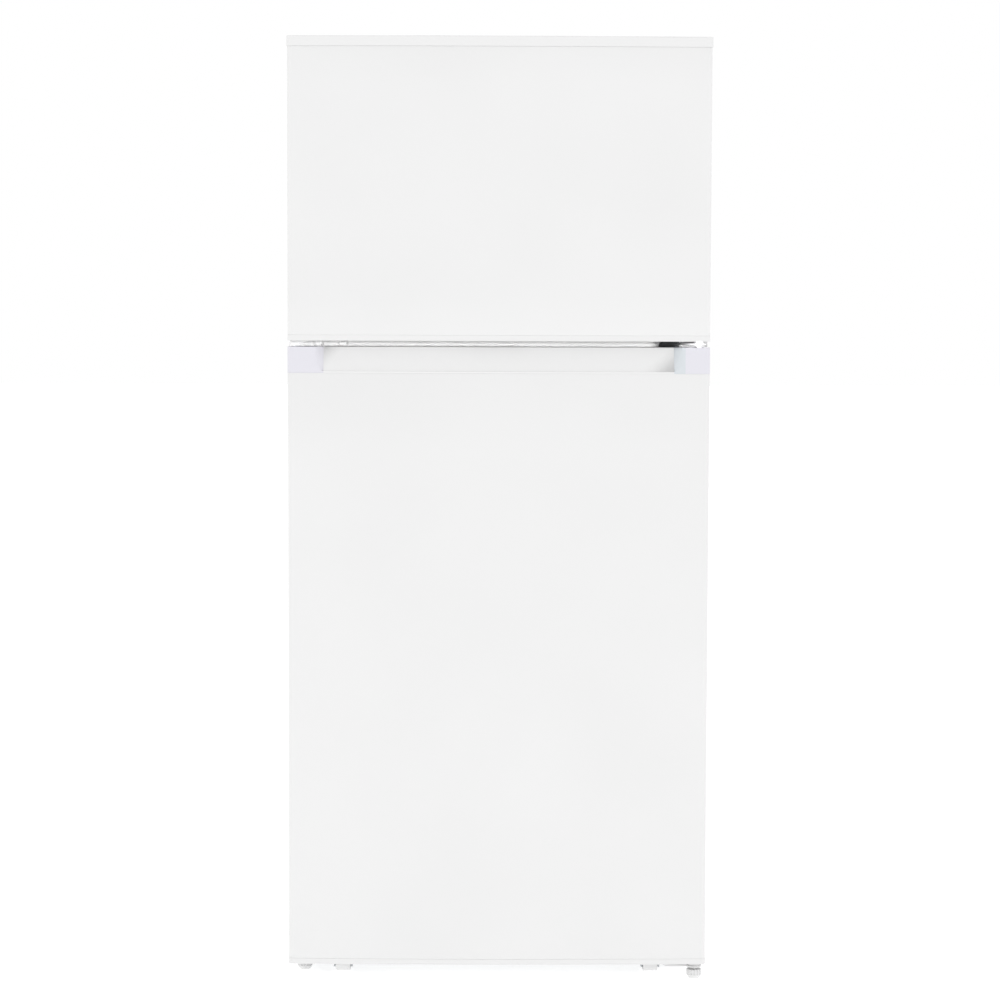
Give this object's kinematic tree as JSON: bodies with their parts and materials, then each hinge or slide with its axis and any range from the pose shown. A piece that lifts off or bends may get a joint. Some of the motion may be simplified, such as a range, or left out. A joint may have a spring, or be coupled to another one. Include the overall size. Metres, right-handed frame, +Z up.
{
  "type": "top freezer refrigerator",
  "caption": "White free-standing refrigerator with a freezer compartment on top, two right-hinged bowed doors and a scooped handle band on the lower door.",
  "frame": {"origin": "on the floor, under the middle of the body", "axes": "+Z up; the doors face -Y; +X is the hinge side, on the right of someone facing the doors"},
  "size_m": [0.75, 0.7699, 1.682],
  "materials": {
    "painted_sheet": "white baked paint on steel sheet",
    "white_cap": "white ABS moulding",
    "handle_band": "cool white ABS moulding",
    "white_liner": "vacuum formed white polystyrene",
    "control_plastic": "fine grained white plastic",
    "control_knob": "light grey moulded plastic",
    "seal_vinyl": "soft white vinyl",
    "foam": "rigid polyurethane foam",
    "galvanised_steel": "galvanised steel sheet",
    "zinc_steel": "zinc plated steel",
    "dark_plastic": "black moulded plastic",
    "clear_plastic": "clear polystyrene",
    "shelf_glass": "tempered glass",
    "wire_white": "white coated steel wire",
    "bare_aluminium": "bare aluminium",
    "black_paint": "black enamel",
    "copper_pipe": "drawn copper tube",
    "wheel_plastic": "white nylon",
    "foot_plastic": "white nylon on a steel stud",
    "gland_plastic": "black nylon"
  },
  "bodies": {
    "cabinet": {"base_deck": "galvanised_steel", "bottom_hinge": "zinc_steel", "cabinet_insulation": "foam", "cabinet_wrap": "painted_sheet", "centre_hinge": "zinc_steel", "compressor": "black_paint", "compressor_mounts": "dark_plastic", "condenser": "copper_pipe", "control_housing": "control_plastic", "door_stop": "dark_plastic", "drain_pan": "control_plastic", "evaporator": "bare_aluminium", "evaporator_cover": "white_liner", "fan_motors": "dark_plastic", "freezer_liner": "white_liner", "freezer_shelf": "wire_white", "fridge_controls": "control_knob", "fridge_liner": "white_liner", "hinge_screws": "zinc_steel", "hole_plugs": "white_cap", "lamp_and_lens": "shelf_glass", "machine_bay_cover": "galvanised_steel", "mains_gland": "gland_plastic", "mullion_rail": "galvanised_steel", "rear_panel": "galvanised_steel", "roller_brackets": "galvanised_steel", "shelf_frames": "control_plastic", "shelf_glasses": "shelf_glass", "top_hinge": "zinc_steel", "top_hinge_cover": "white_cap"},
    "freezer_door": {"freezer_door_skin": "painted_sheet", "freezer_door_liner": "white_liner", "freezer_door_insulation": "foam", "freezer_door_top_cap": "white_cap", "freezer_door_bottom_cap": "white_cap", "freezer_door_gasket": "seal_vinyl", "freezer_bin_lower": "clear_plastic", "freezer_bin_upper": "clear_plastic"},
    "fridge_door": {"fridge_door_skin": "painted_sheet", "fridge_door_liner": "white_liner", "fridge_door_insulation": "foam", "fridge_door_top_cap": "handle_band", "fridge_door_bottom_cap": "white_cap", "fridge_door_gasket": "seal_vinyl", "fridge_bin_bottom": "clear_plastic", "fridge_bin_middle": "clear_plastic", "fridge_bin_top": "clear_plastic"},
    "crisper_left": {"crisper_drawer_left": "clear_plastic"},
    "crisper_right": {"crisper_drawer_right": "clear_plastic"},
    "knob": {"temperature_knob": "control_knob"},
    "air_slider": {"freezer_air_slider": "control_knob"},
    "switch_plunger": {"light_switch_plunger": "control_knob"},
    "freezer_fan": {"evaporator_fan": "dark_plastic"},
    "machine_fan": {"condenser_fan": "dark_plastic"},
    "foot_left": {"levelling_foot_left": "foot_plastic"},
    "foot_right": {"levelling_foot_right": "foot_plastic"},
    "roller_front_left": {"front_roller_left": "wheel_plastic"},
    "roller_front_right": {"front_roller_right": "wheel_plastic"},
    "roller_rear_left": {"rear_roller_left": "wheel_plastic"},
    "roller_rear_right": {"rear_roller_right": "wheel_plastic"}
  },
  "joints": [
    {"name": "freezer_door_hinge", "type": "hinge", "parent": "cabinet", "child": "freezer_door", "pos_m": [0.356, -0.34, 1.4], "axis": [0, 0, 1], "range_deg": [0, 120]},
    {"name": "fridge_door_hinge", "type": "hinge", "parent": "cabinet", "child": "fridge_door", "pos_m": [0.356, -0.34, 0.6], "axis": [0, 0, 1], "range_deg": [0, 120]},
    {"name": "crisper_slide_left", "type": "slide", "parent": "cabinet", "child": "crisper_left", "axis": [0, -1, 0], "range_m": [0, 0.06]},
    {"name": "crisper_slide_right", "type": "slide", "parent": "cabinet", "child": "crisper_right", "axis": [0, -1, 0], "range_m": [0, 0.06]},
    {"name": "temperature_knob_turn", "type": "hinge", "parent": "cabinet", "child": "knob", "pos_m": [0.092, -0.158, 1.09], "axis": [0, -1, 0], "range_deg": [0, 270]},
    {"name": "freezer_air_slide", "type": "slide", "parent": "cabinet", "child": "air_slider", "axis": [1, 0, 0], "range_m": [0, 0.036]},
    {"name": "light_switch_press", "type": "slide", "parent": "cabinet", "child": "switch_plunger", "axis": [0, -1, 0], "range_m": [0, 0.006]},
    {"name": "freezer_fan_spin", "type": "hinge", "parent": "cabinet", "child": "freezer_fan", "pos_m": [0, 0.29, 1.552], "axis": [0, 1, 0], "continuous": true},
    {"name": "machine_fan_spin", "type": "hinge", "parent": "cabinet", "child": "machine_fan", "pos_m": [0.008, 0.246, 0.126], "axis": [1, 0, 0], "continuous": true},
    {"name": "foot_left_screw", "type": "slide", "parent": "cabinet", "child": "foot_left", "axis": [0, 0, -1], "range_m": [0, 0.012]},
    {"name": "foot_right_screw", "type": "slide", "parent": "cabinet", "child": "foot_right", "axis": [0, 0, -1], "range_m": [0, 0.008]},
    {"name": "front_roller_left_spin", "type": "hinge", "parent": "cabinet", "child": "roller_front_left", "pos_m": [-0.279, -0.292, 0.019], "axis": [1, 0, 0], "continuous": true},
    {"name": "front_roller_right_spin", "type": "hinge", "parent": "cabinet", "child": "roller_front_right", "pos_m": [0.279, -0.292, 0.019], "axis": [1, 0, 0], "continuous": true},
    {"name": "rear_roller_left_spin", "type": "hinge", "parent": "cabinet", "child": "roller_rear_left", "pos_m": [-0.318, 0.33, 0.018], "axis": [1, 0, 0], "continuous": true},
    {"name": "rear_roller_right_spin", "type": "hinge", "parent": "cabinet", "child": "roller_rear_right", "pos_m": [0.318, 0.33, 0.018], "axis": [1, 0, 0], "continuous": true}
  ],
  "couplings": [
    {"joint": "light_switch_press", "follows": "fridge_door_hinge", "m_per_rad": 0.0028409}
  ]
}
